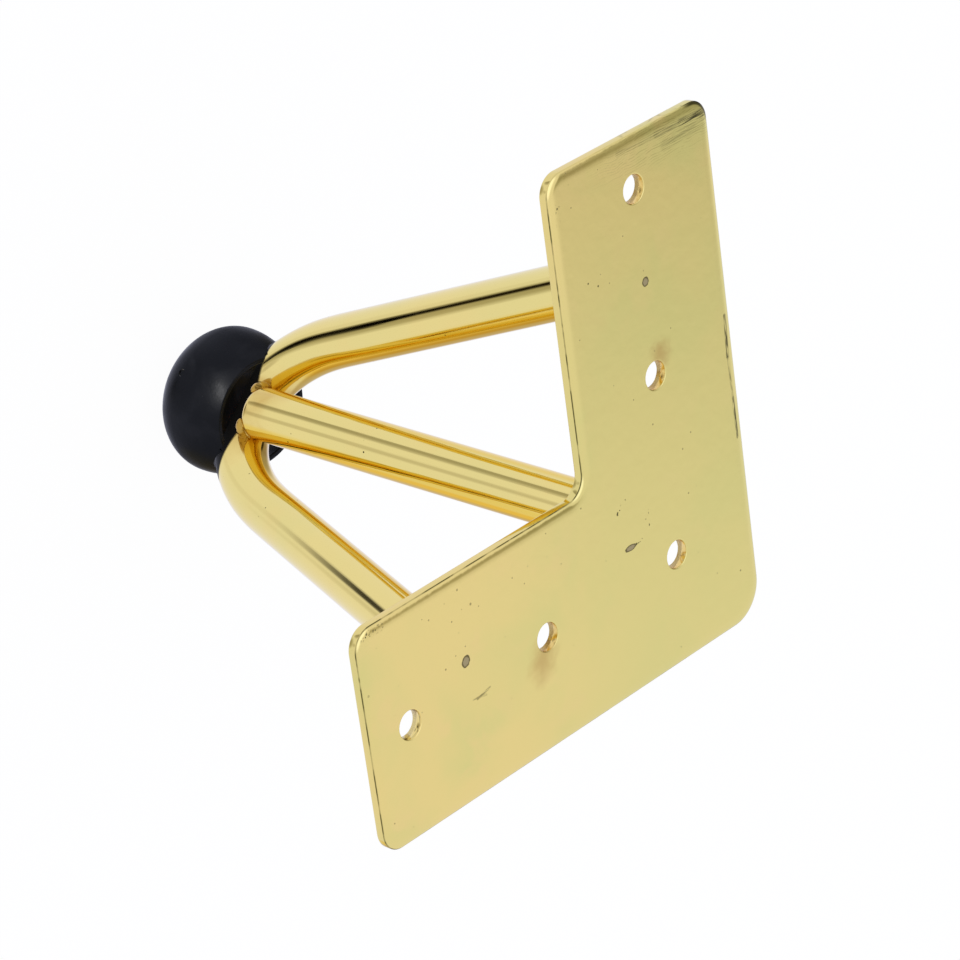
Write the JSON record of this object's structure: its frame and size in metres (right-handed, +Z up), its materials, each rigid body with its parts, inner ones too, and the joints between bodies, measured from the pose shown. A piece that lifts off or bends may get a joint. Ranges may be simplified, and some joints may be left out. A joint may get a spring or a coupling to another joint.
{
  "type": "sofa leg",
  "caption": "Short bent-bar sofa leg: a flat L-shaped plate with screw holes carries a hairpin of round bar, a straight bracing bar and a push-on rubber foot.",
  "frame": {"origin": "centre of the corner screw hole, on the mounting face that meets the sofa's underside", "axes": "+Z up, out of the mounting face; +X and +Y along the two arms of the plate; the foot is below"},
  "size_m": [0.1, 0.1, 0.104],
  "materials": {
    "gold_plated_steel": "glossy pale gold plating on mild steel, slightly blotched",
    "black_rubber": "satin moulded rubber"
  },
  "bodies": {
    "root": {"mounting_plate": "gold_plated_steel", "hairpin_bar": "gold_plated_steel", "centre_bar": "gold_plated_steel", "plate_welds": "gold_plated_steel", "toe_welds": "gold_plated_steel", "rubber_foot": "black_rubber"}
  },
  "joints": []
}
